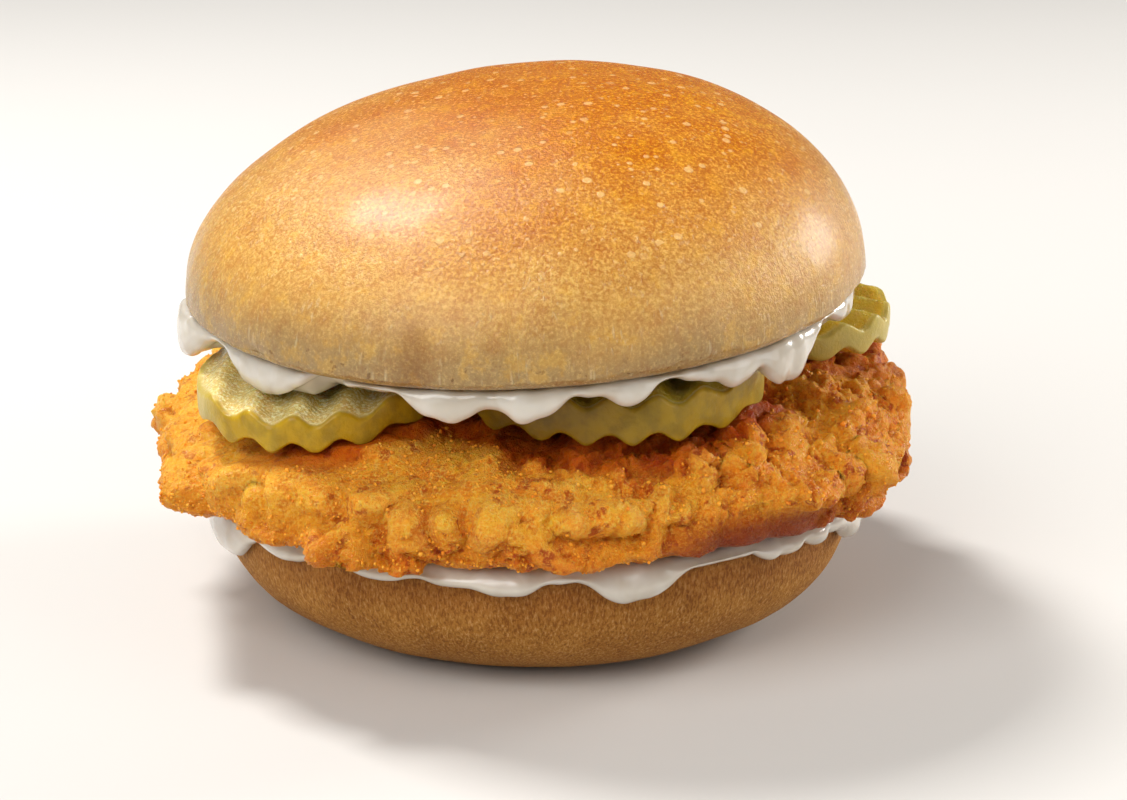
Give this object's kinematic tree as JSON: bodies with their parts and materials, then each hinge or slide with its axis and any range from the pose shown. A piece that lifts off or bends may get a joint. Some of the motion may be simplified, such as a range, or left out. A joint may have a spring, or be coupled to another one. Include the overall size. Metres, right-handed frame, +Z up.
{
  "type": "chicken burger",
  "caption": "Soft round bun with a breaded fried chicken patty, crinkle-cut pickle slices and mayonnaise.",
  "frame": {"origin": "middle of the flat underside of the bun's heel, where the burger rests", "axes": "+Z up through the layers, +X to the right and -Y towards the viewer of the picture"},
  "size_m": [0.1113, 0.1042, 0.0759],
  "materials": {
    "crown_crust": "satin baked crust",
    "heel_crust": "matt baked crust",
    "mayo": "glossy sauce",
    "breading": "crisp fried crumb",
    "pickle": "wet, translucent"
  },
  "bodies": {
    "root": {"bun_heel": "heel_crust", "mayo_lower": "mayo", "chicken_patty": "breading", "pickle_left": "pickle", "pickle_front": "pickle", "pickle_right": "pickle", "mayo_upper": "mayo", "bun_crown": "crown_crust"}
  },
  "joints": []
}
